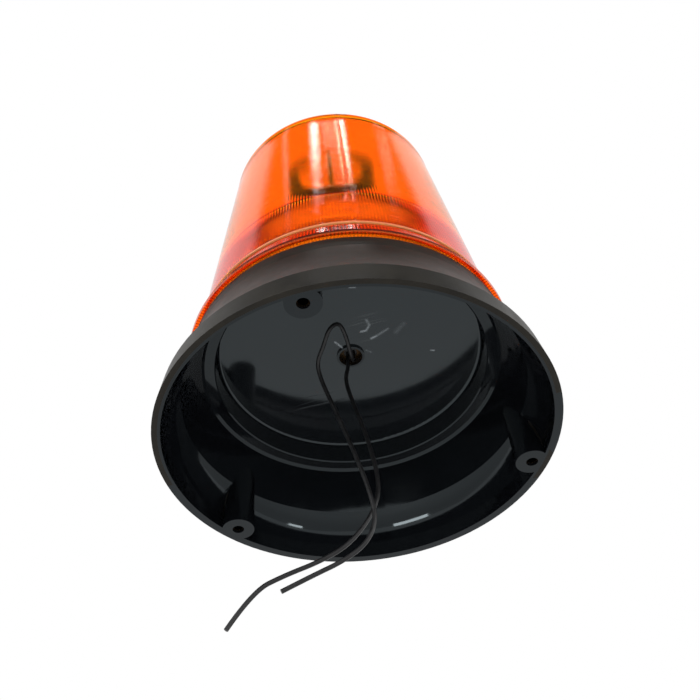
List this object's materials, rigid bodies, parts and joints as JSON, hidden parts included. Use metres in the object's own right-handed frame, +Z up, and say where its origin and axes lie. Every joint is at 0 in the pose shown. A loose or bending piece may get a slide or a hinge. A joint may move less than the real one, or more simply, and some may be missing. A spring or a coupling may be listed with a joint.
{
  "type": "rotating beacon",
  "caption": "Rotating warning beacon: black bell base, amber lens, motor-driven reflector turning round a fixed bulb, and two bare leads.",
  "frame": {"origin": "middle of the rim's lower face, which is the middle of the circle of fixing holes", "axes": "+Z up along the beacon's axis, out of the lens's top; one fixing hole lies on -Y"},
  "size_m": [0.17, 0.17, 0.2645],
  "materials": {
    "base_plastic": "moulded black, glossy inside and satin outside",
    "amber_lens": "clear amber, polished",
    "seal_rubber": "soft black",
    "brass": "turned",
    "zinc_steel": "zinc plated",
    "motor_plastic": "black moulded",
    "magnet": "sintered",
    "armature_iron": "laminated and wound",
    "bronze": "sintered bronze",
    "gear_nylon": "natural moulded",
    "carrier_plastic": "black moulded",
    "reflector_mirror": "metallised",
    "bulb_glass": "clear",
    "filament": "tungsten wire",
    "lead_black": "black insulation"
  },
  "bodies": {
    "base": {"base_housing": "base_plastic", "fixing_inserts": "brass", "lens_gasket": "seal_rubber", "lamp_post": "brass", "post_screws": "zinc_steel", "lead_grommet": "seal_rubber", "thrust_washer": "zinc_steel", "post_clip": "zinc_steel", "motor_can": "zinc_steel", "motor_cap": "motor_plastic", "motor_terminals": "brass", "motor_magnets": "magnet", "motor_bracket": "zinc_steel", "bracket_screws": "zinc_steel", "motor_screws": "zinc_steel", "socket_shell": "brass", "socket_insulator": "motor_plastic", "socket_contact": "brass", "bulb_cap": "brass", "bulb_glass": "bulb_glass", "bulb_stem": "bulb_glass", "bulb_filament": "filament", "lamp_lead": "lead_black", "motor_lead_live": "lead_black", "motor_lead_return": "lead_black", "lead_live": "lead_black", "lead_return": "lead_black"},
    "rotor": {"drive_gear": "gear_nylon", "gear_bush": "bronze", "reflector_carrier": "carrier_plastic", "carrier_screws": "zinc_steel", "reflector": "reflector_mirror", "reflector_screws": "zinc_steel"},
    "armature": {"motor_shaft": "zinc_steel", "motor_armature": "armature_iron", "pinion": "gear_nylon"},
    "lens_cover": {"lens": "amber_lens"}
  },
  "joints": [
    {"name": "reflector_spin", "type": "hinge", "parent": "base", "child": "rotor", "pos_m": [0, 0, 0.098], "axis": [0, 0, 1], "continuous": true},
    {"name": "motor_spin", "type": "hinge", "parent": "base", "child": "armature", "pos_m": [0, 0.0384, 0.098], "axis": [0, 0, 1], "continuous": true},
    {"name": "lens_lift", "type": "slide", "parent": "base", "child": "lens_cover", "axis": [0, 0, 1], "range_m": [0, 0.15]}
  ],
  "couplings": [
    {"joint": "motor_spin", "follows": "reflector_spin", "ratio": -7}
  ]
}
